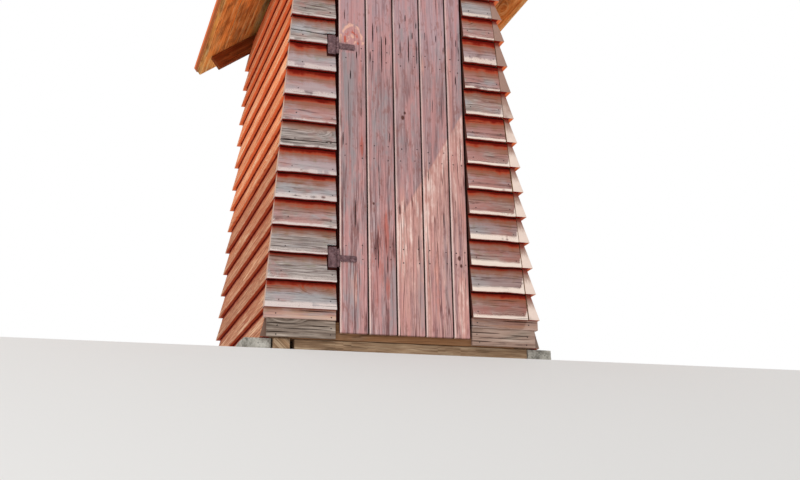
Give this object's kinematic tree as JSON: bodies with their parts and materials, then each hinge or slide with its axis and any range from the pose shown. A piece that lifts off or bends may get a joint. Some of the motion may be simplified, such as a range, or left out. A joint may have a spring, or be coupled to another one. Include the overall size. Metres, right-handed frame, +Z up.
{
  "type": "wooden outhouse",
  "caption": "Small wooden outhouse of lapped boards with inward-leaning side walls, a plank door on two hinges and a gable roof over one small room.",
  "frame": {"origin": "on the ground under the middle of the roof's plan", "axes": "+Z up, the front with the door faces -Y, +X to the right seen from the front"},
  "size_m": [1.7712, 1.9, 2.8635],
  "materials": {
    "stone": "rough, weathered",
    "base_timber": "bare, weathered",
    "frame_wood": "bare, sawn",
    "front_boards": "worn red paint over grey wood",
    "side_boards": "worn red paint",
    "door_planks": "worn red paint over grey wood",
    "roof_wood": "bare, sun-browned",
    "skirt_wood": "bare, grey",
    "hinge_iron": "rusty, painted over"
  },
  "bodies": {
    "hut": {"foundation_stones": "stone", "ground_timber": "base_timber", "sill_block": "base_timber", "side_sills": "base_timber", "front_sill": "base_timber", "back_sill": "base_timber", "floor_joist": "base_timber", "floor": "frame_wood", "front_posts": "frame_wood", "back_posts": "frame_wood", "side_studs": "frame_wood", "back_stud": "frame_wood", "door_posts": "frame_wood", "door_head": "frame_wood", "side_plates": "frame_wood", "back_beam": "frame_wood", "front_rafters": "frame_wood", "middle_rafters": "frame_wood", "back_rafters": "frame_wood", "ridge_board": "frame_wood", "left_roof_boards": "roof_wood", "right_roof_boards": "roof_wood", "left_roofing": "side_boards", "right_roofing": "side_boards", "ridge_cap": "side_boards", "left_wall": "side_boards", "right_wall": "side_boards", "back_wall": "side_boards", "back_gable": "side_boards", "front_wall_left": "front_boards", "front_wall_right": "front_boards", "front_gable": "front_boards", "skirt_boards": "skirt_wood", "narrow_boards": "skirt_wood", "hinge_blocks": "base_timber", "upper_hinge_plate": "hinge_iron", "lower_hinge_plate": "hinge_iron"},
    "door": {"door_plank_1": "door_planks", "door_plank_2": "door_planks", "door_plank_3": "door_planks", "door_plank_4": "door_planks", "door_plank_5": "door_planks", "door_ledges": "door_planks", "upper_strap": "hinge_iron", "lower_strap": "hinge_iron"}
  },
  "joints": [
    {"name": "door_hinge", "type": "hinge", "parent": "hut", "child": "door", "pos_m": [-0.353, -0.783, 1], "axis": [0, 0, -1], "range_deg": [0, 110]}
  ]
}
